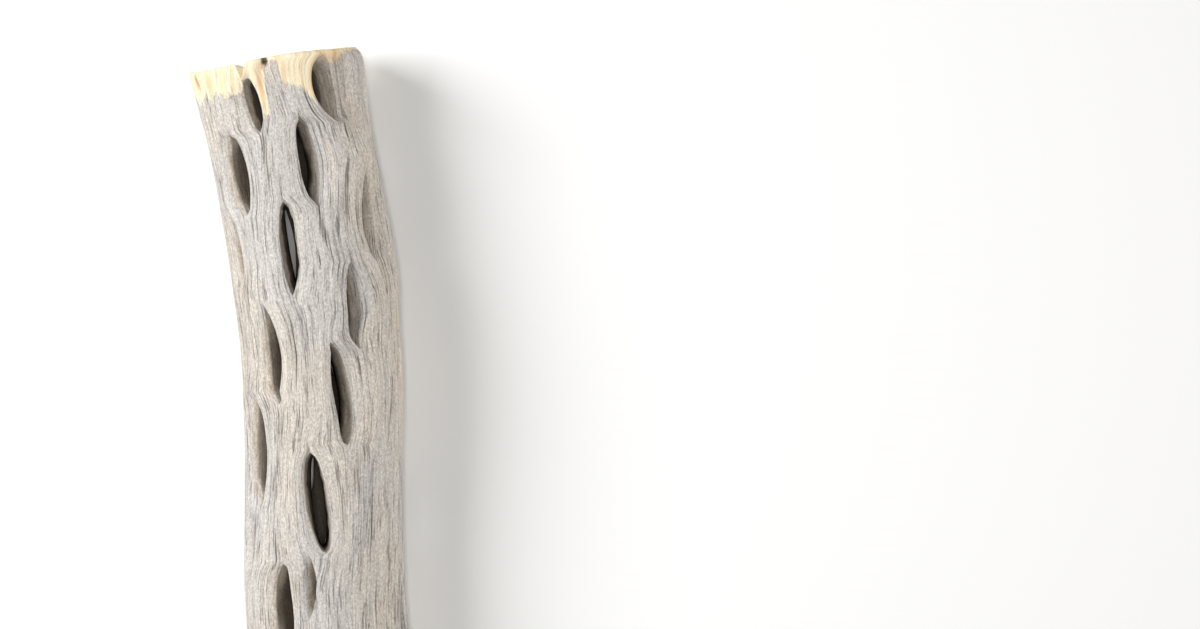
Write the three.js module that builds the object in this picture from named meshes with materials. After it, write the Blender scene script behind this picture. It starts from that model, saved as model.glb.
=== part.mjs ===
// Cholla cactus skeleton: the hollow woody net left when a cholla stem dries, lying on its side.
// The stem runs along Y with its sawn end at +Y, Z is up and the surface it lies on is z = 0.
import * as THREE from "three";
import { mergeVertices } from "three/addons/utils/BufferGeometryUtils.js";

// Driving dimensions in millimetres
const LENGTH = 203;
const RADIUS = 22.7;
const PITH_RADIUS = 12.6;
const BOW = 2.7;
const BOW_CREST = 20;
const BOW_WAVE = 165;
const SWELL = 0.5;
const SWELL_CREST = 30;
const SWELL_WAVE = 118;
const SAWN_FLARE = 2.4;
const SAWN_FLARE_REACH = 11;
const FOOT_FLARE = 1.4;
const FOOT_FLARE_REACH = 14;
const SAWN_SLOPE = 1.9;
const SAWN_TIP = 1.6;
const FOOT_SLOPE = 1.2;
const END_REACH = 24;
const KNOBBLE = 0.45;
const BELLY_SINK = 0.8;

// How the wood is drawn aside by a slot
const GRAIN_SPREAD = 9;
const TIP_REACH = 6;
const LIP_REACH = 1.6;
const LIP_SPREAD = 0.9;
const INNER_WIDTH = 0.9;
const INNER_SHORTENING = 0.16;
const BORE_RIPPLE = 0.5;

// Fineness of the faceted skin
const COLUMNS = 36;
const ROWS = 56;

// One slot: angle in degrees round the stem from straight up towards +X, along its middle on Y,
// half and wide its half length and half width. lean is its drift in X for each millimetre of Y,
// slant the shift of its inner mouth, left and right how far each lip rolls in,
// and top and foot how pointed its ends are.
function slot(angle, along, half, wide, shape) {
  const usual = { lean: -0.08, slant: 0, left: 0.5, right: 0.5, top: 0.8, foot: 0.8 };
  return { angle, along, half, wide, ...usual, ...shape };
}

const UPPER_SLOTS = [
  slot(-17, 89.3, 9.2, 2.4, { lean: -0.12, slant: 0.6, left: 1.4, foot: 0.6 }),
  slot(38, 90.8, 8.8, 4.6, { lean: -0.12, slant: -1.5, left: 0.2, right: 4.2, top: 0.45, foot: 0.9 }),
  slot(-40, 69.3, 11.4, 3.8, { lean: -0.1, slant: 0.8, left: 2.4, right: 0.4, top: 0.55, foot: 0.55 }),
  slot(16, 71.0, 12.2, 3.3, { lean: -0.05, slant: -1.6, left: 0.3, right: 2.6, top: 0.5 }),
  slot(-59, 50, 11.2, 3.2, { slant: 0.8, left: 1.8, right: 0.4 }),
  slot(-9, 48.0, 12.9, 2.4, { lean: 0, slant: -2.2, top: 0.4 }),
  slot(62, 57.6, 13.6, 4.0, { lean: 0.2, slant: -1.2, left: 0.4, right: 3.0 }),
  slot(34, 31, 12, 2.8, { lean: 0, slant: -1, left: 0.4, right: 1.6 }),
  slot(-32, 19.3, 14, 3.1, { slant: 0.8, left: 2.2, right: 0.4, foot: 0.55 }),
  slot(18, 7.4, 14.3, 2.9, { lean: -0.16, slant: -1.6, left: 0.4, right: 2.4, foot: 0.45 }),
  slot(-53.5, -6.6, 15.6, 4.2, { lean: -0.16, slant: 0.8, left: 2.8, right: 0.4, top: 0.55 }),
  slot(-0.5, -21.8, 13.9, 3.4, { lean: -0.22, slant: -1.2, left: 0.8, top: 0.55, foot: 0.45 }),
  slot(-25, -51.6, 14, 3.3, { lean: -0.05, slant: 0.6, left: 2.0, right: 0.4, top: 0.5 }),
  slot(86, -58, 13.4, 2.9, { lean: 0.05, left: 0.8, right: 0.8 }),
  slot(-58, -31.5, 8.4, 1.7, { lean: 0, left: 1.0, right: 0.4 }),
];

// Slots of the belly that face the slots above, so that light falls right through the stem.
const BELLY_SLOTS = [
  slot(200, 50, 12.9, 3.1, { slant: 4.2 }),
  slot(198, -10, 12.5, 3.1, { lean: 0.1, slant: 3.8 }),
  slot(185, -43.5, 12.5, 3.1, { slant: -0.4 }),
];

// The rest follow the stem's own spiral: each row starts at a place and steps down the stem.
const ROW_STEP = -25.8;
const SPIRAL_ROWS = [
  { angle: 140, along: 100, twist: -14, count: 4 },
  { angle: 242, along: 100, twist: -22, count: 2 },
  { angle: 176, along: 22.6, twist: -22, count: 3 },
  { angle: 274, along: 74.5, twist: -22, count: 3 },
  { angle: 279, along: 24, twist: -20, count: 4 },
  { angle: 160, along: -57, twist: -20, count: 2 },
  { angle: 193, along: -80, twist: -22, count: 2 },
  { angle: 280, along: -56, twist: -22, count: 2 },
  { angle: -46, along: -79, twist: -22, count: 2 },
  { angle: 14, along: -80, twist: -22, count: 2 },
  { angle: 64, along: -82, twist: -22, count: 1 },
];
const SPIRAL_HALF = 12.9;
const SPIRAL_WIDE = 2.9;
const SPIRAL_LIP = 1.2;

const TURN = 2 * Math.PI;
const DEGREE = TURN / 360;
const COLUMN_TURN = TURN / COLUMNS;
const ROW_HEIGHT = LENGTH / ROWS;

// A repeatable number from 0 to 1 for each seed, so that no two slots are quite alike.
function scatter(seed) {
  const wave = Math.sin(seed * 12.9898) * 43758.5453;
  return wave - Math.floor(wave);
}

function spread(seed, amount) {
  return amount * (2 * scatter(seed) - 1);
}

function spiralSlots() {
  const made = [];
  for (const row of SPIRAL_ROWS) {
    for (let step = 0; step < row.count; step += 1) {
      const seed = 8 * made.length + 1;
      const angle = row.angle + step * row.twist + spread(seed, 3);
      const along = row.along + step * ROW_STEP + spread(seed + 1, 2);
      const half = SPIRAL_HALF * (1 + spread(seed + 2, 0.12));
      const wide = SPIRAL_WIDE * (1 + spread(seed + 3, 0.25));
      const shape = {
        lean: -0.08 + spread(seed + 4, 0.08),
        slant: spread(seed + 5, 1),
        left: SPIRAL_LIP * (0.3 + scatter(seed + 6)),
        right: SPIRAL_LIP * (0.3 + scatter(seed + 7)),
      };
      made.push(slot(angle, along, half, wide, shape));
    }
  }
  return made;
}

function wrapTurn(turn) {
  return turn - TURN * Math.round(turn / TURN);
}

// Each slot opens along the column of the skin nearest to it and is drawn from there to its true place.
// Two slots that come close end to end take columns side by side, so that their tips stay apart.
function slotsOnColumns(wanted) {
  const placed = [];
  for (const one of wanted) {
    const turned = one.angle * DEGREE;
    const isTaken = (column) => placed.some((other) => {
      const apart = Math.abs(other.along - one.along) - other.half - one.half;
      return Math.abs(wrapTurn(other.column - column)) < 0.001 && apart < 2 * ROW_HEIGHT;
    });
    const nearest = Math.round(turned / COLUMN_TURN) * COLUMN_TURN;
    const beside = nearest + (turned < nearest ? -COLUMN_TURN : COLUMN_TURN);
    const column = isTaken(nearest) ? beside : nearest;
    placed.push({ ...one, column, offset: (turned - column) * RADIUS });
  }
  return placed;
}

const slots = slotsOnColumns([...UPPER_SLOTS, ...BELLY_SLOTS, ...spiralSlots()]);

function stemRadius(y) {
  const swell = SWELL * Math.cos((TURN * (y - SWELL_CREST)) / SWELL_WAVE);
  const sawn = SAWN_FLARE * Math.exp((y - LENGTH / 2) / SAWN_FLARE_REACH);
  const foot = FOOT_FLARE * Math.exp((-y - LENGTH / 2) / FOOT_FLARE_REACH);
  return RADIUS + swell + sawn + foot;
}

function bowAt(y) {
  return BOW * Math.cos((TURN * (y - BOW_CREST)) / BOW_WAVE);
}

// Both ends slope a little, and the slope fades out along the stem.
function endShift(turn, y) {
  const sawn = Math.max(0, (y - LENGTH / 2 + END_REACH) / END_REACH);
  const foot = Math.max(0, (END_REACH - y - LENGTH / 2) / END_REACH);
  const sawnEdge = SAWN_SLOPE * Math.sin(turn) - SAWN_TIP * Math.cos(turn) + 0.4 * Math.sin(3 * turn + 1);
  const footEdge = FOOT_SLOPE * Math.cos(turn + 0.7) + 0.5 * Math.sin(4 * turn);
  return sawn * sawn * sawnEdge + foot * foot * footEdge;
}

function isOpen(one, y) {
  return Math.abs(y - one.along) < one.half - ROW_HEIGHT / 2;
}

function slotOpening(one, y) {
  const share = (y - one.along) / one.half;
  return one.wide * Math.max(0, 1 - share * share) ** (share > 0 ? one.top : one.foot);
}

// Pushes one point of the outer or the inner skin aside, in and along for every slot near it.
function drawnAside(turn, y, side, isInner) {
  let shift = 0;
  let sink = 0;
  let slide = 0;
  for (const one of slots) {
    const along = y - one.along;
    const beyond = Math.max(0, Math.abs(along) - one.half) / TIP_REACH;
    const gap = RADIUS * wrapTurn(turn - one.column);
    const near = Math.exp(-Math.abs(gap) / GRAIN_SPREAD - beyond * beyond);
    const onSlit = Math.abs(gap) < 0.001;
    const hand = onSlit ? side : Math.sign(gap);
    const opening = slotOpening(one, y);
    const reach = Math.max(-one.half, Math.min(one.half, along));
    shift += near * (hand * opening + one.lean * reach + one.offset);
    const lip = hand < 0 ? one.left : one.right;
    const edge = Math.max(0, Math.abs(gap) - opening * (1 - near)) / (LIP_REACH + LIP_SPREAD * lip);
    sink += lip * Math.exp(-edge * edge) * Math.sqrt(opening / one.wide);
    const short = one.half - Math.abs(along);
    if (onSlit && Math.abs(short) <= ROW_HEIGHT / 2) {
      slide += Math.sign(along) * short;
    }
    if (isInner) {
      shift += near * (one.slant - hand * opening * (1 - INNER_WIDTH));
      slide -= INNER_SHORTENING * reach * near;
    }
  }
  return { shift, sink, slide };
}

function skinPoint(turn, y, side, isInner) {
  const { shift, sink, slide } = drawnAside(turn, y, side, isInner);
  const angle = turn + shift / RADIUS;
  const station = y + slide;
  const stem = stemRadius(station);
  const outer = stem - sink + KNOBBLE * (Math.sin(3 * angle + y / 17) + Math.sin(2 * angle - y / 29 + 1.3));
  const inner = PITH_RADIUS + BORE_RIPPLE * Math.sin(2 * angle + y / 13) * Math.cos(y / 21);
  const radius = isInner ? inner : outer;
  const height = stem - BELLY_SINK + radius * Math.cos(angle);
  const across = bowAt(station) + radius * Math.sin(angle);
  return new THREE.Vector3(across, station + endShift(angle, station), Math.max(0, height));
}

function slitAt(turn, y) {
  return slots.some((one) => Math.abs(wrapTurn(turn - one.column)) < 0.001 && isOpen(one, y));
}

// Both skins share one ruled sheet. Where a slot opens, its points part into a left and a right one.
function buildStem() {
  const sheet = new THREE.CylinderGeometry(1, 1, LENGTH, COLUMNS, ROWS, true).toNonIndexed();
  const corners = sheet.getAttribute("position");
  const numberOf = new Map();
  const points = [];
  const outerFaces = [];

  function pointNumber(turn, y, side) {
    const parted = slitAt(turn, y) ? side : 0;
    const column = (Math.round(turn / COLUMN_TURN) + COLUMNS) % COLUMNS;
    const name = `${column} ${Math.round(y / ROW_HEIGHT + ROWS)} ${parted}`;
    if (!numberOf.has(name)) {
      numberOf.set(name, points.length);
      points.push(skinPoint(turn, y, parted, false), skinPoint(turn, y, parted, true));
    }
    return numberOf.get(name);
  }

  for (let first = 0; first < corners.count; first += 3) {
    const turns = [0, 1, 2].map((k) => Math.atan2(corners.getX(first + k), corners.getZ(first + k)));
    const middle = Math.atan2(
      turns.reduce((sum, turn) => sum + Math.sin(turn), 0),
      turns.reduce((sum, turn) => sum + Math.cos(turn), 0),
    );
    const face = turns.map((turn, k) => {
      const side = Math.sign(wrapTurn(middle - turn));
      return pointNumber(turn, corners.getY(first + k), side);
    });
    outerFaces.push(face);
  }

  const edges = new Set();
  for (const [a, b, c] of outerFaces) {
    edges.add(`${a} ${b}`).add(`${b} ${c}`).add(`${c} ${a}`);
  }
  const index = [];
  for (const [a, b, c] of outerFaces) {
    index.push(a, b, c, c + 1, b + 1, a + 1);
    for (const [from, to] of [[a, b], [b, c], [c, a]]) {
      if (!edges.has(`${to} ${from}`)) {
        index.push(to, from, from + 1, to, from + 1, to + 1);
      }
    }
  }

  const body = new THREE.BufferGeometry().setFromPoints(points);
  body.setIndex(index);
  return mergeVertices(body.toNonIndexed());
}

const stem = buildStem();
stem.computeBoundingBox();
const middle = stem.boundingBox.getCenter(new THREE.Vector3());
stem.translate(-middle.x, -middle.y, 0);
stem.computeVertexNormals();

const wood = new THREE.MeshStandardMaterial({ color: 0xb9aea3, roughness: 0.88, metalness: 0 });
const skeleton = new THREE.Mesh(stem, wood);
skeleton.name = "cholla_skeleton";

const part = new THREE.Group();
part.name = "cholla_cactus_skeleton";
part.add(skeleton);

export default part;
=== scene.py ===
import math

import bmesh
import bpy
import numpy as np
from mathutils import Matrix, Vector, noise


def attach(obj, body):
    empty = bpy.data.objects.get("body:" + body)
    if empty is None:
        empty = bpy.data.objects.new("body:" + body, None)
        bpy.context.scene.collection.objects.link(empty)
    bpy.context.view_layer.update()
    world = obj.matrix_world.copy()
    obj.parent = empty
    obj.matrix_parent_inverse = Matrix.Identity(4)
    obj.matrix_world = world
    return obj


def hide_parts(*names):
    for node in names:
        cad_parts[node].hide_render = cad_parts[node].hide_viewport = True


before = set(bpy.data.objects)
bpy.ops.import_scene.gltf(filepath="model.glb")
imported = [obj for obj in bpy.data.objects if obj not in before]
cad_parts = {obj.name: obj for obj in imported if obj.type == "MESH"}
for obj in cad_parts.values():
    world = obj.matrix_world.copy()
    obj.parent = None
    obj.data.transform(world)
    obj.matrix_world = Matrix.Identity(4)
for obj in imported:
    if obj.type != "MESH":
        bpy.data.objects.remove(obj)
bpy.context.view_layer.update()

MM = 0.001
TURN = 2 * math.pi

# Driving dimensions of the stem in millimetres, as in the solid part
LENGTH = 203.0
RADIUS = 22.7
PITH_RADIUS = 12.6
BOW = 2.7
BOW_CREST = 20.0
BOW_WAVE = 165.0
SWELL = 0.5
SWELL_CREST = 30.0
SWELL_WAVE = 118.0
SAWN_FLARE = 2.4
SAWN_FLARE_REACH = 11.0
FOOT_FLARE = 1.4
FOOT_FLARE_REACH = 14.0
SAWN_SLOPE = 1.9
SAWN_TIP = 1.6
SAWN_RIPPLE = 0.4
FOOT_SLOPE = 1.2
FOOT_RIPPLE = 0.5
END_REACH = 24.0
KNOBBLE = 0.45
BELLY_SINK = 0.8
BORE_RIPPLE = 0.5

# How the wood is drawn aside round a slot, and how the slot's lips roll in
GRAIN_SPREAD = 9.0
TIP_REACH = 6.0
TIP_CLEARANCE = 3.0
LIP_REACH = 1.6
LIP_SPREAD = 0.9
EDGE_ROUNDING = 0.45
EDGE_ROUNDING_REACH = 0.75
INNER_WIDTH = 0.9
INNER_SHORTENING = 0.16

# The flat sheet that the stem is rolled from, in columns round the stem and rows along it
COARSE_COLUMNS = 54
FINE_CUTS = 6
FINE_COLUMNS = COARSE_COLUMNS * FINE_CUTS
ROWS = 174
ROW_HEIGHT = LENGTH / ROWS
COLUMN_TURN = TURN / COARSE_COLUMNS
SEAM = -math.pi
WALL_DEPTHS = (0.04, 0.11, 0.25, 0.45, 0.7, 1.0)
ANGLE_ERROR = 1e-4
PLACE_ERROR = 1e-3
MERGE_DISTANCE = 2e-7


class Slot:
    """One lens-shaped opening in the wall of the stem.

    angle is in degrees round the stem from straight up towards +X, and along is its middle on Y.
    half and wide are its half length and half width, and lean is its drift round the stem along Y.
    slant shifts its inner mouth, and left and right say how far each lip rolls in.
    top and foot say how pointed its two tips are.
    column and offset are its place on the flat sheet, which put_on_columns fills in.
    """

    def __init__(
        self, angle, along, half, wide, lean=-0.08, slant=0.0, left=0.5, right=0.5, top=0.8, foot=0.8
    ):
        self.turn = math.radians(angle)
        self.along = along
        self.half = half
        self.wide = wide
        self.lean = lean
        self.slant = slant
        self.left = left
        self.right = right
        self.top = top
        self.foot = foot
        self.column = 0
        self.offset = 0.0

    def is_open(self, y):
        return abs(y - self.along) < self.half - ROW_HEIGHT / 2


UPPER_SLOTS = [
    Slot(-17, 89.3, 9.2, 2.4, lean=-0.12, slant=0.6, left=1.4, foot=0.6),
    Slot(38, 90.8, 8.8, 4.6, lean=-0.12, slant=-1.5, left=0.2, right=4.2, top=0.45, foot=0.9),
    Slot(-40, 69.3, 11.4, 3.8, lean=-0.1, slant=0.8, left=2.4, right=0.4, top=0.55, foot=0.55),
    Slot(16, 71.0, 12.2, 3.3, lean=-0.05, slant=-1.6, left=0.3, right=2.6, top=0.5),
    Slot(-59, 50.0, 11.2, 3.2, slant=0.8, left=1.8, right=0.4),
    Slot(-9, 48.0, 12.9, 2.4, lean=0.0, slant=-2.2, top=0.4),
    Slot(62, 57.6, 13.6, 4.0, lean=0.2, slant=-1.2, left=0.4, right=3.0),
    Slot(34, 31.0, 12.0, 2.8, lean=0.0, slant=-1.0, left=0.4, right=1.6),
    Slot(-32, 19.3, 14.0, 3.1, slant=0.8, left=2.2, right=0.4, foot=0.55),
    Slot(18, 7.4, 14.3, 2.9, lean=-0.16, slant=-1.6, left=0.4, right=2.4, foot=0.45),
    Slot(-53.5, -6.6, 15.6, 4.2, lean=-0.16, slant=0.8, left=2.8, right=0.4, top=0.55),
    Slot(-0.5, -21.8, 13.9, 3.4, lean=-0.22, slant=-1.2, left=0.8, top=0.55, foot=0.45),
    Slot(-25, -51.6, 14.0, 3.3, lean=-0.05, slant=0.6, left=2.0, right=0.4, top=0.5),
    Slot(86, -58.0, 13.4, 2.9, lean=0.05, left=0.8, right=0.8),
    Slot(-58, -31.5, 8.4, 1.7, lean=0.0, left=1.0, right=0.4),
]

# Slots of the belly that face the slots above, so that light falls right through the stem
BELLY_SLOTS = [
    Slot(200, 50.0, 12.9, 3.1, slant=4.2),
    Slot(198, -10.0, 12.5, 3.1, lean=0.1, slant=3.8),
    Slot(185, -43.5, 12.5, 3.1, slant=-0.4),
]

# Spiral rows of the rest: angle and place of the first slot, twist for each step, number of slots
SPIRAL_ROWS = [
    (140, 100.0, -14, 4),
    (242, 100.0, -22, 2),
    (176, 22.6, -22, 3),
    (274, 74.5, -22, 3),
    (279, 24.0, -20, 4),
    (160, -57.0, -20, 2),
    (193, -80.0, -22, 2),
    (280, -56.0, -22, 2),
    (-46, -79.0, -22, 2),
    (14, -80.0, -22, 2),
    (64, -82.0, -22, 1),
]
ROW_STEP = -25.8
SPIRAL_HALF = 12.9
SPIRAL_WIDE = 2.9
SPIRAL_LEAN = -0.08
SPIRAL_LIP = 1.2
LEAST_LIP = 0.3

# Scatter of the spiral slots: in degrees, in millimetres, and as shares of their length and width
DRAWS_PER_SLOT = 8
ANGLE_SCATTER = 3.0
PLACE_SCATTER = 2.0
HALF_SCATTER = 0.12
WIDE_SCATTER = 0.25
LEAN_SCATTER = 0.08
SLANT_SCATTER = 1.0

# Wear of the sawn rim: a split at one place, a rounded corner on one side, and a worn edge all round
SPLIT_ANGLE = -21.0
SPLIT_WIDE = 1.6
SPLIT_DEEP = 4.6
SPLIT_REACH = 8.0
WORN_CORNER_ANGLE = 88.0
WORN_CORNER_SPAN = 42.0
WORN_CORNER = 2.6
WORN_CORNER_REACH = 2.4
WORN_EDGE = 0.7
WORN_EDGE_REACH = 1.2

# Shallow marks on the skin: angle, place on Y, half length, half width, depth, and how amber and dark
SKIN_MARKS = [
    (-64, 95.9, 2.6, 1.1, 0.7, 0.9, 0.0),
    (-4, 99.3, 1.3, 1.0, 1.6, 0.6, 0.9),
    (-9, 92.6, 7.5, 0.9, 0.3, 0.5, 0.0),
    (8.5, 95.5, 4.0, 0.8, 0.2, 0.4, 0.0),
    (42, 99.8, 2.0, 4.5, 0.0, 0.3, 0.0),
    (-50, 95.0, 4.5, 1.0, 0.1, 0.35, 0.0),
    (60, 84.0, 5.0, 2.0, 0.4, 0.1, 0.1),
]

# A closed dent beside a slot: it falls gently from its left, then drops to its steep right side.
# The fall and the drop start and span shares of its half width.
DENT_ANGLE = -5.0
DENT_ALONG = -44.4
DENT_HALF = 9.2
DENT_WIDE = 2.0
DENT_DEEP = 4.6
DENT_FALL = 0.45
DENT_FALL_START = -1.6
DENT_FALL_SPAN = 2.6
DENT_DROP = 0.55
DENT_DROP_START = -0.4
DENT_DROP_SPAN = 0.8
DENT_LEAST_WIDTH = 0.02

# Fine drying cracks along the grain
CRACK_COUNT = 400
CRACK_SEED = 1001
DRAWS_PER_CRACK = 6
CRACK_LEAST_ROWS = 5
CRACK_MORE_ROWS = 20
CRACK_DEEP = 0.5
CRACK_LEAST_SHARE = 0.25
CRACK_TAPER = 0.6

# Relief: ridges of grain on the skin, torn fibres on the slot walls, saw marks on the ends.
# Each is a coarse noise and a share of a fine one, with waves for each millimetre round and along.
RIDGE_HEIGHT = 0.13
RIDGE_REACH = 0.2
RIDGE_WAVES = (0.5, 0.5, 0.028)
FINE_RIDGES = 0.55
FINE_RIDGE_WAVES = (1.25, 1.25, 0.05)
TORN_HEIGHT = 0.65
TORN_WAVES = (0.45, 0.45, 0.11)
FINE_TORN = 0.8
FINE_TORN_WAVES = (1.1, 1.1, 0.4)
SAW_HEIGHT = 0.22
SAW_WAVES = (0.35, 0.35, 0.35)
FINE_SAW = 0.5
FINE_SAW_WAVES = (1.1, 1.1, 1.1)

# Lowest place of the pale fresh-cut wood on the skin: angle and place on Y
FRESH_LINE = [
    (-110, 92.0),
    (-84, 91.2),
    (-55, 91.0),
    (-26, 91.3),
    (-18, 93.2),
    (-12.5, 92.5),
    (-11.5, 87.0),
    (-6.5, 85.5),
    (-5.0, 99.6),
    (5.0, 99.6),
    (6.5, 92.0),
    (20, 91.0),
    (26, 88.5),
    (30, 87.5),
    (32, 98.8),
    (53, 99.0),
    (62, 104.0),
    (108, 105.0),
    (130, 97.0),
    (180, 94.0),
    (220, 95.0),
]
FRESH_FADE = 6.0
FRESH_WALL_LOSS = 6.0
FRESH_WALL_REACH = 0.2
FRESH_CRACK_LOSS = 0.7
FOOT_FRESHNESS = 0.16

# How hollow the wood looks and how much painted shade it gets on rolled lips, in the dent and down the slot
# walls, with left lips and walls shaded more than right ones
RIGHT_LIP_SHADE_SHARE = 0.38
LIP_SHADE = 0.46
LIP_SHADE_SPAN = 3.0
DEEP_LIP_SHADE = 0.4
DEEP_LIP_START = 1.4
DEEP_LIP_SPAN = 1.8
DENT_SHADE = 0.55
DENT_SHADE_GAIN = 1.6
DENT_DARK = 0.75
LEFT_WALL_SHADE_REACH = 0.56
RIGHT_WALL_SHADE_REACH = 0.9

# Colours of the wood
SILVER = (0.585, 0.55, 0.515, 1)
BEIGE = (0.62, 0.56, 0.49, 1)
WALL_GREY = (0.58, 0.53, 0.465, 1)
WALL_BROWN = (0.42, 0.35, 0.265, 1)
# Painted shade: the dark brown laid deep in the slots, where the bore lies in shadow
BORE_SHADE_BROWN = (0.10, 0.08, 0.06, 1)
CRACK_DARK = (0.06, 0.05, 0.04, 1)
FRESH_TAN = (0.98, 0.745, 0.44, 1)
FRESH_PALE = (0.99, 0.90, 0.69, 1)
AMBER = (0.60, 0.30, 0.11, 1)
WOOD_SHINE = 0.25
BUMP_STRENGTH = 0.7
BUMP_HEIGHT = 0.35

# Floor and light, in metres and watts
FLOOR_HALF = 3.0
FLOOR_COLOUR = (0.92, 0.915, 0.90, 1)
FLOOR_ROUGHNESS = 0.7
ROOM_LIGHT = 0.09
LIGHT_TARGET = (0, 0, 0.02)
TOP_LIGHT_HEIGHT = 0.82

# Camera: the middle of its view on the stem, the photo's scale, the lens, and the stem's tilt in the view
VIEW_MIDDLE = (81.0, 23.3)
SIGHT_HEIGHT = 22.5
PHOTO_WIDTH = 1200
PHOTO_MM_PER_PIXEL = 0.28
LENS = 85.0
SENSOR = 36.0
STEM_TILT = math.radians(4.594)


def scatter(seed):
    """A fixed number from 0 to 1 for each seed, scattered as random draws are."""
    wave = math.sin(seed * 12.9898) * 43758.5453
    return wave - math.floor(wave)


def spread(seed, amount):
    return amount * (2 * scatter(seed) - 1)


def wrap_turn(turn):
    return turn - TURN * np.round(turn / TURN)


def smooth_step(value):
    clipped = np.clip(value, 0, 1)
    return clipped * clipped * (3 - 2 * clipped)


def field(points, waves, offset=0.0):
    """Smooth noise at each row of points, with so many waves for each millimetre."""
    stretched = points * np.array(waves) + offset
    return np.array([noise.noise(p) for p in stretched])


def spiral_slots():
    made = []
    for first_angle, first_along, twist, count in SPIRAL_ROWS:
        for step in range(count):
            seed = DRAWS_PER_SLOT * len(made) + 1
            made.append(
                Slot(
                    first_angle + step * twist + spread(seed, ANGLE_SCATTER),
                    first_along + step * ROW_STEP + spread(seed + 1, PLACE_SCATTER),
                    SPIRAL_HALF * (1 + spread(seed + 2, HALF_SCATTER)),
                    SPIRAL_WIDE * (1 + spread(seed + 3, WIDE_SCATTER)),
                    lean=SPIRAL_LEAN + spread(seed + 4, LEAN_SCATTER),
                    slant=spread(seed + 5, SLANT_SCATTER),
                    left=SPIRAL_LIP * (LEAST_LIP + scatter(seed + 6)),
                    right=SPIRAL_LIP * (LEAST_LIP + scatter(seed + 7)),
                )
            )
    return made


def is_taken(column, slot, placed):
    """Whether a slit along this column would meet the seam or run into the slit of another slot."""
    if column % COARSE_COLUMNS == 0:
        return True
    for other in placed:
        apart = abs(other.along - slot.along) - other.half - slot.half
        if other.column == column % COARSE_COLUMNS and apart < TIP_CLEARANCE:
            return True
    return False


def put_on_columns(wanted):
    """Gives each slot the sheet column it opens along, and keeps close tips on separate columns."""
    placed = []
    for slot in wanted:
        steps = (slot.turn - SEAM) / COLUMN_TURN
        nearest = round(steps)
        beside = nearest + (1 if steps > nearest else -1)
        chosen = beside if is_taken(nearest, slot, placed) else nearest
        slot.column = chosen % COARSE_COLUMNS
        slot.offset = (steps - chosen) * COLUMN_TURN * RADIUS
        placed.append(slot)
    return placed


slots = put_on_columns(UPPER_SLOTS + BELLY_SLOTS + spiral_slots())


def stem_radius(y):
    swell = SWELL * np.cos(TURN * (y - SWELL_CREST) / SWELL_WAVE)
    sawn = SAWN_FLARE * np.exp((y - LENGTH / 2) / SAWN_FLARE_REACH)
    foot = FOOT_FLARE * np.exp((-y - LENGTH / 2) / FOOT_FLARE_REACH)
    return RADIUS + swell + sawn + foot


def stem_bow(y):
    return BOW * np.cos(TURN * (y - BOW_CREST) / BOW_WAVE)


def end_shift(turn, y):
    """How far the slope and ripple of the cut ends, and the split in the sawn rim, move the wood along Y."""
    sawn = np.maximum(0, (y - LENGTH / 2 + END_REACH) / END_REACH)
    foot = np.maximum(0, (END_REACH - y - LENGTH / 2) / END_REACH)
    sawn_edge = SAWN_SLOPE * np.sin(turn) - SAWN_TIP * np.cos(turn) + SAWN_RIPPLE * np.sin(3 * turn + 1)
    foot_edge = FOOT_SLOPE * np.cos(turn + 0.7) + FOOT_RIPPLE * np.sin(4 * turn)
    beside_split = np.abs(wrap_turn(turn - math.radians(SPLIT_ANGLE))) * RADIUS / SPLIT_WIDE
    near_split = np.maximum(0, (y - LENGTH / 2 + SPLIT_REACH) / SPLIT_REACH)
    split = SPLIT_DEEP * np.maximum(0, 1 - beside_split) * near_split
    return sawn**2 * sawn_edge + foot**2 * foot_edge - split


def worn_rim(angle, y):
    """How far the wood is worn away at the edges of both ends."""
    from_end = LENGTH / 2 - np.abs(y)
    edge = WORN_EDGE * np.exp(-from_end / WORN_EDGE_REACH)
    off_corner = wrap_turn(angle - math.radians(WORN_CORNER_ANGLE)) / math.radians(WORN_CORNER_SPAN)
    from_sawn = LENGTH / 2 - y
    corner = WORN_CORNER * np.exp(-(off_corner**2) - from_sawn / WORN_CORNER_REACH)
    return edge + corner


def skin_marks(angle, y):
    """Depth, amber tint and darkness of the marks on the skin."""
    deep = np.zeros_like(angle)
    amber = np.zeros_like(angle)
    dark = np.zeros_like(angle)
    for mark_angle, mark_along, half, wide, mark_deep, mark_amber, mark_dark in SKIN_MARKS:
        round_way = RADIUS * wrap_turn(angle - math.radians(mark_angle)) / wide
        long_way = (y - mark_along) / half
        inside = np.exp(-((round_way**2 + long_way**2) ** 2))
        deep += mark_deep * inside
        amber = np.maximum(amber, mark_amber * inside)
        dark = np.maximum(dark, mark_dark * inside)
    return deep, amber, dark


def dent(angle, y):
    """Depth of the closed dent, from 0 at its soft left edge to 1 under its steep right one."""
    long_way = (y - DENT_ALONG) / DENT_HALF
    width = DENT_WIDE * np.maximum(DENT_LEAST_WIDTH, 1 - long_way**2)
    across = RADIUS * wrap_turn(angle - math.radians(DENT_ANGLE)) / width
    fall = DENT_FALL * np.clip((across - DENT_FALL_START) / DENT_FALL_SPAN, 0, 1)
    drop = DENT_DROP * smooth_step((across - DENT_DROP_START) / DENT_DROP_SPAN)
    return np.where(across < 1, fall + drop, 0) * np.maximum(0, 1 - long_way**2)


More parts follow.
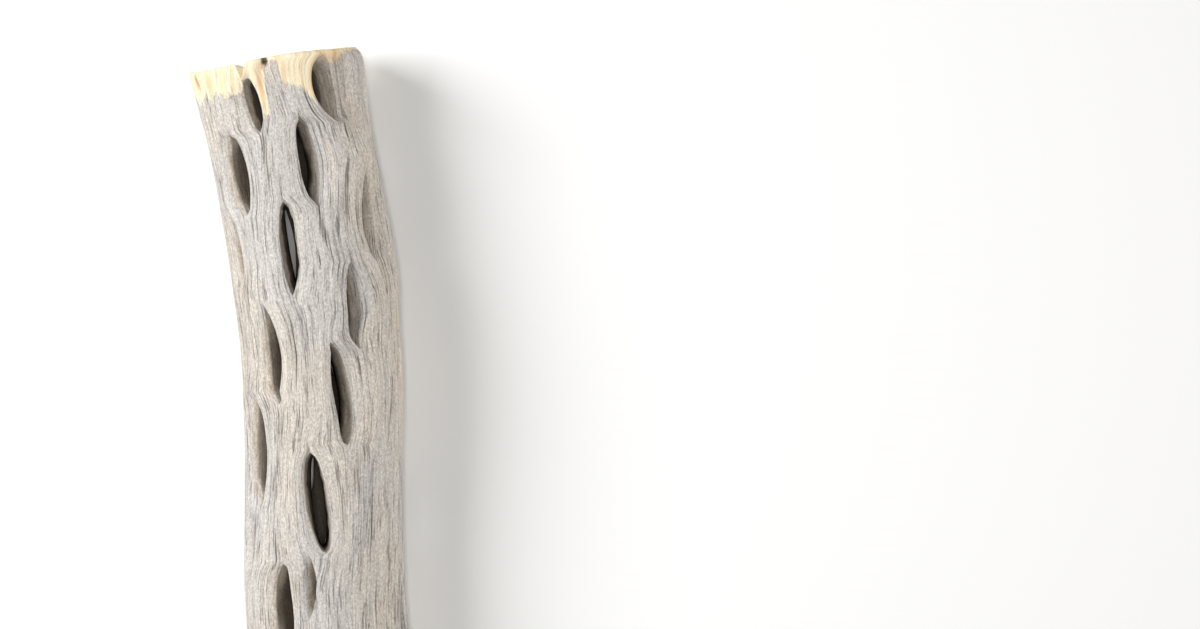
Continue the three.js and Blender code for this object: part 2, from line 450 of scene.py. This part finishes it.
def drawn_aside(turn, y, side, is_inner):
    """How far the slots near each point push it round, in and along, and how much painted shade their rolled
    lips give it, more from left lips than from right ones.
    """
    shift = np.zeros_like(turn)
    sink = np.zeros_like(turn)
    slide = np.zeros_like(turn)
    painted_shade_sink = np.zeros_like(turn)
    for slot in slots:
        along = y - slot.along
        beyond = np.maximum(0, np.abs(along) - slot.half) / TIP_REACH
        gap = RADIUS * wrap_turn(turn - SEAM - slot.column * COLUMN_TURN)
        near = np.exp(-np.abs(gap) / GRAIN_SPREAD - beyond**2)
        on_slit = np.abs(gap) < PLACE_ERROR
        hand = np.where(on_slit, side, np.sign(gap))
        share = along / slot.half
        opening = slot.wide * np.maximum(0, 1 - share**2) ** np.where(share > 0, slot.top, slot.foot)
        reach = np.clip(along, -slot.half, slot.half)
        shift += near * (hand * opening + slot.lean * reach + slot.offset)
        lip = np.where(hand < 0, slot.left, slot.right)
        edge = np.maximum(0, np.abs(gap) - opening * (1 - near)) / (LIP_REACH + LIP_SPREAD * lip)
        from_edge = np.abs(gap) / EDGE_ROUNDING_REACH
        rolled = lip * np.exp(-(edge**2)) + EDGE_ROUNDING * np.sqrt(lip) * np.exp(-(from_edge**2))
        rolled = rolled * np.sqrt(opening / slot.wide)
        sink += rolled
        # Rolled lips get painted shade by how far they sink in, the left lips more than the right ones
        painted_shade_sink += np.where(hand < 0, 1.0, RIGHT_LIP_SHADE_SHARE) * rolled
        short = slot.half - np.abs(along)
        is_tip = on_slit & (np.abs(short) <= ROW_HEIGHT / 2)
        slide += np.where(is_tip, np.sign(along) * short, 0)
        if is_inner:
            shift += near * (slot.slant - hand * opening * (1 - INNER_WIDTH))
            slide -= INNER_SHORTENING * reach * near
    return shift, sink, slide, painted_shade_sink


def skin_points(turn, y, side, is_inner, relief):
    """Places of the points on the outer or inner skin, and how much painted shade each one gets from a
    rolled lip.
    """
    shift, sink, slide, painted_shade_sink = drawn_aside(turn, y, side, is_inner)
    angle = turn + shift / RADIUS
    station = y + slide
    stem = stem_radius(station)
    if is_inner:
        radius = PITH_RADIUS + BORE_RIPPLE * np.sin(2 * angle + y / 13) * np.cos(y / 21) + relief
    else:
        knobble = np.sin(3 * angle + y / 17) + np.sin(2 * angle - y / 29 + 1.3)
        deep = skin_marks(angle, station)[0] + DENT_DEEP * dent(angle, station)
        radius = stem - sink + KNOBBLE * knobble + relief - deep - worn_rim(angle, station)
    across = stem_bow(station) + radius * np.sin(angle)
    height = np.maximum(0, stem - BELLY_SINK + radius * np.cos(angle))
    return np.stack([across, station + end_shift(angle, station), height], axis=1), painted_shade_sink


def is_seam(edge):
    return all(abs(abs(vert.co.x) - math.pi) < ANGLE_ERROR for vert in edge.verts)


def is_end(edge):
    return all(abs(abs(vert.co.y) - LENGTH / 2) < PLACE_ERROR for vert in edge.verts)


def unrolled_sheet(bm, columns):
    made = bmesh.ops.create_grid(bm, x_segments=columns, y_segments=ROWS, size=0.5)["verts"]
    for vert in made:
        vert.co.x *= TURN
        vert.co.y *= LENGTH
    return made


def cut_slits(bm, verts, columns_per_coarse):
    """Parts the sheet along every slot and marks which side of the slit each point is on."""
    side = bm.verts.layers.float["side"]
    column_turn = COLUMN_TURN / columns_per_coarse
    grid = {}
    for vert in verts:
        column = round((vert.co.x - SEAM) / column_turn)
        row = round((vert.co.y + LENGTH / 2) / ROW_HEIGHT)
        grid[column, row] = vert
    slit_edges = []
    for slot in slots:
        column = slot.column * columns_per_coarse
        rows = [r for r in range(ROWS + 1) if slot.is_open(r * ROW_HEIGHT - LENGTH / 2)]
        for row in range(max(0, rows[0] - 1), min(ROWS, rows[-1] + 1)):
            pair = (grid[column, row], grid[column, row + 1])
            slit_edges.append(bm.edges.get(pair))
    parted = bmesh.ops.split_edges(bm, edges=slit_edges)["edges"]
    for edge in parted:
        for vert in edge.verts:
            offsets = [face.calc_center_median().x - vert.co.x for face in vert.link_faces]
            if min(offsets) > 0 or max(offsets) < 0:
                vert[side] = math.copysign(1.0, offsets[0])


def flat_stem():
    """The outer sheet with its slits, the walls that go in from every rim, and the inner sheet."""
    bm = bmesh.new()
    bm.verts.layers.float.new("side")
    depth = bm.verts.layers.float.new("depth")

    outer = unrolled_sheet(bm, FINE_COLUMNS)
    cut_slits(bm, outer, FINE_CUTS)
    rim = [e for e in bm.edges if e.is_boundary and not is_seam(e)]
    for level in WALL_DEPTHS:
        made = bmesh.ops.extrude_edge_only(bm, edges=rim)["geom"]
        new_verts = {g for g in made if isinstance(g, bmesh.types.BMVert)}
        for vert in new_verts:
            vert[depth] = level
        rim = [g for g in made if isinstance(g, bmesh.types.BMEdge) and new_verts.issuperset(g.verts)]

    inner = unrolled_sheet(bm, COARSE_COLUMNS)
    for vert in inner:
        vert[depth] = 1.0
    inner_faces = {face for vert in inner for face in vert.link_faces}
    cut_slits(bm, inner, 1)
    ends = [e for e in bm.edges if e.is_boundary and is_end(e) and inner_faces.issuperset(e.link_faces)]
    bmesh.ops.subdivide_edges(bm, edges=ends, cuts=FINE_CUTS - 1)
    return bm


def crack_depths():
    """Depth of the drying cracks at each fine column and row of the sheet."""
    deep = np.zeros((FINE_COLUMNS, ROWS + 1))
    for number in range(CRACK_COUNT):
        seed = DRAWS_PER_CRACK * number + CRACK_SEED
        column = int(scatter(seed) * FINE_COLUMNS)
        first = int(scatter(seed + 1) * ROWS)
        count = int(CRACK_LEAST_ROWS + CRACK_MORE_ROWS * scatter(seed + 2) ** 2)
        share = CRACK_LEAST_SHARE + (1 - CRACK_LEAST_SHARE) * scatter(seed + 3) ** 2
        for step in range(min(count, ROWS - first)):
            taper = math.sin(math.pi * (step + 0.5) / count) ** CRACK_TAPER
            deep[column, first + step] = max(deep[column, first + step], CRACK_DEEP * share * taper)
    return deep


class Sheet:
    """What each point of the flat stem is: its turn and place along, its side of a slit, its depth in the
    wall from 0 on the skin to 1 at the core, its place in the grain, and the drying cracks there."""

    def __init__(self, bm):
        side_layer = bm.verts.layers.float["side"]
        depth_layer = bm.verts.layers.float["depth"]
        flat = np.array([vert.co[:2] for vert in bm.verts])
        turn = wrap_turn(flat[:, 0])
        self.turn = np.where(np.abs(np.abs(turn) - math.pi) < ANGLE_ERROR, SEAM, turn)
        self.along = flat[:, 1]
        self.side = np.array([vert[side_layer] for vert in bm.verts])
        self.depth = np.array([vert[depth_layer] for vert in bm.verts])
        self.on_skin = self.depth == 0
        self.at_sawn_end = self.along > LENGTH / 2 - PLACE_ERROR
        self.at_foot_end = self.along < PLACE_ERROR - LENGTH / 2
        self.on_end = self.at_sawn_end | self.at_foot_end
        self.grain = self.grain_places()
        self.cracks = self.crack_places()

    def grain_places(self):
        """Places that run along the stem, and on the ends go on from the rim to the core as rays."""
        inward = (RADIUS - PITH_RADIUS) * self.depth
        ring = np.where(self.on_end, RADIUS, RADIUS - inward)
        grain_along = self.along + np.where(self.on_end, np.sign(self.along) * inward, 0)
        return np.stack([ring * np.cos(self.turn), ring * np.sin(self.turn), grain_along], axis=1)

    def crack_places(self):
        columns = np.round((self.turn - SEAM) / TURN * FINE_COLUMNS).astype(int) % FINE_COLUMNS
        rows = np.round((self.along + LENGTH / 2) / ROW_HEIGHT).astype(int)
        return np.where(self.on_skin & (self.side == 0), crack_depths()[columns, rows], 0)


def shaped_points(sheet):
    """Places of all points in millimetres, their angles round the stem, and how much painted shade rolled
    lips give them.
    """
    ridges = field(sheet.grain, RIDGE_WAVES) + FINE_RIDGES * field(sheet.grain, FINE_RIDGE_WAVES, 7.0)
    relief = np.exp(-((sheet.depth / RIDGE_REACH) ** 2)) * RIDGE_HEIGHT * ridges - sheet.cracks
    outer, painted_shade_sink = skin_points(sheet.turn, sheet.along, sheet.side, False, relief)
    inner, _ = skin_points(sheet.turn, sheet.along, sheet.side, True, 0.0)
    points = outer + (inner - outer) * sheet.depth[:, None]

    across = points[:, 0] - stem_bow(points[:, 1])
    angle = np.arctan2(across, points[:, 2] - stem_radius(sheet.along) + BELLY_SINK)
    in_wall = np.sin(math.pi * np.clip(sheet.depth, 0, 1))
    torn = field(sheet.grain, TORN_WAVES, 3.0) + FINE_TORN * field(sheet.grain, FINE_TORN_WAVES, 9.0)
    torn = torn * in_wall * sheet.side * TORN_HEIGHT
    points[:, 0] += torn * np.cos(angle)
    points[:, 2] -= torn * np.sin(angle)
    points[:, 2] = np.maximum(0, points[:, 2])
    sawn = field(points, SAW_WAVES, 5.0) + FINE_SAW * field(points, FINE_SAW_WAVES, 2.0)
    points[:, 1] += np.where(sheet.on_end, SAW_HEIGHT * sawn, 0)
    return points, angle, painted_shade_sink


def wood_tints(sheet, points, angle, painted_shade_sink):
    """How freshly cut and amber the wood is at each point, how dark from its marks and from painted shade in
    the dent and cracks, and how deep in a slot for the walls' colour and their painted shade.
    """
    line = np.array(FRESH_LINE)
    fresh_edge = np.interp(np.degrees(angle), line[:, 0], line[:, 1], period=360)
    fresh = 0.5 + (points[:, 1] - fresh_edge) / FRESH_FADE
    fresh -= FRESH_WALL_LOSS * smooth_step(sheet.depth / FRESH_WALL_REACH)
    fresh = np.where(sheet.at_sawn_end, 1.0, fresh)
    fresh = np.clip(np.where(sheet.at_foot_end, FOOT_FRESHNESS, fresh), 0, 1)

    _, amber, dark = skin_marks(angle, points[:, 1])
    in_dent = dent(angle, points[:, 1]) * sheet.on_skin
    # The dent is painted darker towards its steep right side, as shade under it
    dark = np.maximum(dark, DENT_DARK * in_dent**2) * sheet.on_skin
    # Drying cracks are painted dark by their depth, as shade in them
    dark = np.maximum(dark, sheet.cracks / CRACK_DEEP * (1 - FRESH_CRACK_LOSS * fresh))

    # Painted shade on rolled lips and in the dent, as on a slot wall
    deep_lip = smooth_step((painted_shade_sink - DEEP_LIP_START) / DEEP_LIP_SPAN)
    lip_shade = LIP_SHADE * smooth_step(painted_shade_sink / LIP_SHADE_SPAN) + DEEP_LIP_SHADE * deep_lip
    lip_shade = np.maximum(lip_shade, DENT_SHADE * smooth_step(DENT_SHADE_GAIN * in_dent))
    # Slot walls are painted darker with depth down to the bore as shade, sooner on left walls than on right
    # ones, as if the right walls faced the light
    wall_shade_reach = np.where(sheet.side > 0, RIGHT_WALL_SHADE_REACH, LEFT_WALL_SHADE_REACH)
    hollow_shade = 1 - (1 - lip_shade) * (1 - smooth_step(sheet.depth / wall_shade_reach))
    hollow_shade = np.where(sheet.on_end, 0.0, hollow_shade)
    return {"fresh": fresh, "amber": amber * sheet.on_skin, "dark": dark, "hollow_shade": hollow_shade}


class Finish:
    """One material, with its nodes added and joined as they are asked for."""

    def __init__(self, name):
        self.material = bpy.data.materials.new(name)
        self.material.use_nodes = True
        self.tree = self.material.node_tree
        self.shader = self.tree.nodes["Principled BSDF"]

    def feed(self, socket, value):
        if isinstance(value, bpy.types.NodeSocket):
            self.tree.links.new(value, socket)
        else:
            socket.default_value = value

    def attribute(self, name, output="Fac"):
        node = self.tree.nodes.new("ShaderNodeAttribute")
        node.attribute_name = name
        return node.outputs[output]

    def noise(self, place, waves, detail=2.0, roughness=0.5, shift=0.0):
        """Noise with so many waves for each millimetre round and along the grain."""
        mapping = self.tree.nodes.new("ShaderNodeMapping")
        self.feed(mapping.inputs["Vector"], place)
        self.feed(mapping.inputs["Scale"], waves)
        self.feed(mapping.inputs["Location"], (shift, shift, shift))
        texture = self.tree.nodes.new("ShaderNodeTexNoise")
        self.feed(texture.inputs["Vector"], mapping.outputs["Vector"])
        self.feed(texture.inputs["Scale"], 1.0)
        self.feed(texture.inputs["Detail"], detail)
        self.feed(texture.inputs["Roughness"], roughness)
        return texture.outputs["Fac"]

    def ramp(self, value, low, high, at_low=0.0, at_high=1.0):
        """Runs smoothly from at_low to at_high as the value goes from low to high."""
        node = self.tree.nodes.new("ShaderNodeMapRange")
        node.interpolation_type = "SMOOTHSTEP"
        for socket, amount in zip(node.inputs, (value, low, high, at_low, at_high)):
            self.feed(socket, amount)
        return node.outputs["Result"]

    def combine(self, kind, first, second):
        node = self.tree.nodes.new("ShaderNodeMath")
        node.operation = kind
        self.feed(node.inputs[0], first)
        self.feed(node.inputs[1], second)
        return node.outputs["Value"]

    def blend(self, share, first, second):
        """The first colour, with a share of the second laid over it."""
        node = self.tree.nodes.new("ShaderNodeMix")
        node.data_type = "RGBA"
        self.feed(node.inputs[0], share)
        self.feed(node.inputs[6], first)
        self.feed(node.inputs[7], second)
        return node.outputs[2]

    def shade(self, colour, amount):
        """The colour made lighter or darker by amount."""
        node = self.tree.nodes.new("ShaderNodeVectorMath")
        node.operation = "SCALE"
        self.feed(node.inputs[0], colour)
        self.feed(node.inputs["Scale"], amount)
        return node.outputs["Vector"]


def hair_lines(finish, place, across, along, width, shift):
    """Thin broken lines along the grain, where a slow noise passes its middle value."""
    slow = finish.noise(place, (across, across, along), 2.5, 0.55, shift)
    off_line = finish.combine("ABSOLUTE", finish.combine("SUBTRACT", slow, 0.5), 0.0)
    line = finish.ramp(off_line, 0.0, width, 1.0, 0.0)
    gate_waves = (0.5 * across, 0.5 * across, 3.0 * along)
    gate = finish.ramp(finish.noise(place, gate_waves, 2.0, 0.5, shift + 31.0), 0.45, 0.54)
    return finish.combine("MULTIPLY", line, gate)


def wood_bump(finish, streaks, fibres, grit, lines):
    """Fine relief of the wood, with the hair lines cut into it."""
    height = finish.combine("MULTIPLY", streaks, 0.5)
    height = finish.combine("ADD", height, finish.combine("MULTIPLY", fibres, 0.6))
    height = finish.combine("ADD", height, finish.combine("MULTIPLY", grit, 0.7))
    height = finish.combine("SUBTRACT", height, finish.combine("MULTIPLY", lines, 0.7))
    bump = finish.tree.nodes.new("ShaderNodeBump")
    bump.inputs["Strength"].default_value = BUMP_STRENGTH
    bump.inputs["Distance"].default_value = BUMP_HEIGHT * MM
    finish.feed(bump.inputs["Height"], height)
    return bump.outputs["Normal"]


def weathered_wood():
    finish = Finish("weathered_wood")
    place = finish.attribute("grain", "Vector")
    hollow_shade = finish.attribute("hollow_shade")
    patches = finish.noise(place, (0.06, 0.06, 0.025), 3.0, 0.6)
    streaks = finish.noise(place, (0.6, 0.6, 0.025), 5.0, 0.65, 4.0)
    fibres = finish.noise(place, (2.2, 2.2, 0.11), 3.0, 0.65, 11.0)
    grit = finish.noise(place, (1.8, 1.8, 1.3), 4.0, 0.8, 17.0)
    coarse_lines = hair_lines(finish, place, 0.42, 0.016, 0.017, 23.0)
    fine_lines = hair_lines(finish, place, 0.95, 0.035, 0.028, 41.0)
    lines = finish.combine("MAXIMUM", coarse_lines, finish.combine("MULTIPLY", fine_lines, 0.85))

    # Silver and beige skin that turns in the slots to brown walls, partly their own colour and partly
    # painted shade, and to a bore painted dark as shade
    skin = finish.blend(finish.ramp(patches, 0.4, 0.62), SILVER, BEIGE)
    skin = finish.shade(skin, finish.ramp(streaks, 0.28, 0.7, 0.89, 1.07))
    skin = finish.shade(skin, finish.ramp(fibres, 0.25, 0.75, 0.88, 1.11))
    wall_tone = finish.ramp(finish.noise(place, (0.6, 0.6, 0.25), 5.0, 0.7, 53.0), 0.38, 0.64)
    wall = finish.blend(wall_tone, WALL_BROWN, WALL_GREY)
    wood = finish.blend(finish.ramp(hollow_shade, 0.05, 0.55), skin, wall)
    wood = finish.blend(finish.ramp(hollow_shade, 0.6, 0.97), wood, BORE_SHADE_BROWN)
    wood = finish.shade(wood, finish.ramp(grit, 0.3, 0.7, 0.68, 1.28))

    # Pale fresh-cut wood with a ragged edge, and amber marks
    edge = finish.noise(place, (0.35, 0.35, 0.16), 5.0, 0.7, 61.0)
    edge = finish.ramp(edge, 0.25, 0.75, -0.38, 0.38)
    fresh = finish.combine("ADD", finish.attribute("fresh"), edge)
    tan = finish.blend(finish.ramp(streaks, 0.35, 0.65), FRESH_TAN, FRESH_PALE)
    tan = finish.shade(tan, finish.ramp(grit, 0.3, 0.7, 0.92, 1.06))
    wood = finish.blend(finish.ramp(fresh, 0.4, 0.66), wood, tan)
    wood = finish.blend(finish.attribute("amber"), wood, AMBER)

    # Dark marks on the skin, painted shade in the dent's steep side and in the cracks, and hair lines
    # painted dark as shade in fine cracks, which fade out in the slots and on fresh wood
    marks_and_painted_shade = finish.ramp(finish.attribute("dark"), 0.05, 0.8, 0.0, 0.9)
    open_lines = finish.combine("MULTIPLY", lines, finish.ramp(hollow_shade, 0.2, 0.6, 0.75, 0.0))
    open_lines = finish.combine("MULTIPLY", open_lines, finish.ramp(fresh, 0.45, 0.6, 1.0, 0.35))
    wood = finish.blend(finish.combine("MAXIMUM", marks_and_painted_shade, open_lines), wood, CRACK_DARK)

    finish.feed(finish.shader.inputs["Base Color"], wood)
    finish.feed(finish.shader.inputs["Roughness"], finish.ramp(fibres, 0.2, 0.8, 0.78, 0.95))
    finish.shader.inputs["Specular IOR Level"].default_value = WOOD_SHINE
    finish.feed(finish.shader.inputs["Normal"], wood_bump(finish, streaks, fibres, grit, lines))
    return finish.material


def build_stem():
    """The stem's object, and the middle of its box in millimetres before it is centred on the frame."""
    bm = flat_stem()
    sheet = Sheet(bm)
    points, angle, painted_shade_sink = shaped_points(sheet)
    middle = (points.min(0) + points.max(0)) / 2
    middle[2] = 0.0
    for vert, point in zip(bm.verts, (points - middle) * MM):
        vert.co = point
    grain_layer = bm.verts.layers.float_vector.new("grain")
    for vert, spot in zip(bm.verts, sheet.grain):
        vert[grain_layer] = spot
    for name, values in wood_tints(sheet, points, angle, painted_shade_sink).items():
        layer = bm.verts.layers.float.new(name)
        for vert, value in zip(bm.verts, values):
            vert[layer] = value
    bmesh.ops.remove_doubles(bm, verts=bm.verts, dist=MERGE_DISTANCE)
    bmesh.ops.recalc_face_normals(bm, faces=bm.faces)

    mesh = bpy.data.meshes.new("cholla_stem")
    bm.to_mesh(mesh)
    bm.free()
    mesh.shade_smooth()
    mesh.materials.append(weathered_wood())
    stem = bpy.data.objects.new("cholla_stem", mesh)
    bpy.context.scene.collection.objects.link(stem)
    return stem, middle


def pale_floor():
    mesh = bpy.data.meshes.new("floor")
    bm = bmesh.new()
    bmesh.ops.create_grid(bm, x_segments=1, y_segments=1, size=FLOOR_HALF)
    bm.to_mesh(mesh)
    bm.free()
    finish = Finish("pale_floor")
    finish.shader.inputs["Base Color"].default_value = FLOOR_COLOUR
    finish.shader.inputs["Roughness"].default_value = FLOOR_ROUGHNESS
    mesh.materials.append(finish.material)
    floor = bpy.data.objects.new("floor", mesh)
    bpy.context.scene.collection.objects.link(floor)
    return floor


def softbox(name, place, size, power, colour):
    data = bpy.data.lights.new(name, "AREA")
    data.shape = "RECTANGLE"
    data.size = size[0]
    data.size_y = size[1]
    data.energy = power
    data.color = colour
    lamp = bpy.data.objects.new(name, data)
    lamp.location = place
    lamp.rotation_euler = (Vector(LIGHT_TARGET) - Vector(place)).to_track_quat("-Z", "Y").to_euler()
    bpy.context.scene.collection.objects.link(lamp)


def studio_light():
    scene = bpy.context.scene
    scene.view_settings.view_transform = "Standard"
    world = bpy.data.worlds.new("studio")
    world.use_nodes = True
    background = world.node_tree.nodes["Background"]
    background.inputs["Color"].default_value = (1.0, 1.0, 1.0, 1)
    background.inputs["Strength"].default_value = ROOM_LIGHT
    scene.world = world

    above = (VIEW_MIDDLE[0] * MM, VIEW_MIDDLE[1] * MM, TOP_LIGHT_HEIGHT)
    softbox("key", (-0.9, 0.35, 0.9), size=(0.7, 0.9), power=19.5, colour=(0.98, 0.99, 1.0))
    softbox("fill", (1.0, -0.2, 0.16), size=(0.9, 0.26), power=5.3, colour=(1.0, 0.97, 0.93))
    softbox("top", above, size=(0.10, 0.10), power=2.4, colour=(1.0, 1.0, 1.0))


def photo_camera(middle):
    """Looks straight down on the stem, with the stem turned in the view as in the photo."""
    data = bpy.data.cameras.new("camera")
    data.lens = LENS
    data.sensor_width = SENSOR
    data.sensor_fit = "HORIZONTAL"
    camera = bpy.data.objects.new("camera", data)
    distance = PHOTO_WIDTH * PHOTO_MM_PER_PIXEL * LENS / SENSOR
    place = (VIEW_MIDDLE[0] - middle[0], VIEW_MIDDLE[1] - middle[1], SIGHT_HEIGHT + distance)
    camera.location = Vector(place) * MM
    camera.rotation_euler = (0, 0, -STEM_TILT)
    bpy.context.scene.collection.objects.link(camera)
    bpy.context.scene.camera = camera


stem, middle = build_stem()
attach(stem, "root")
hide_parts("cholla_skeleton")

floor = pale_floor()
studio_light()
photo_camera(middle)
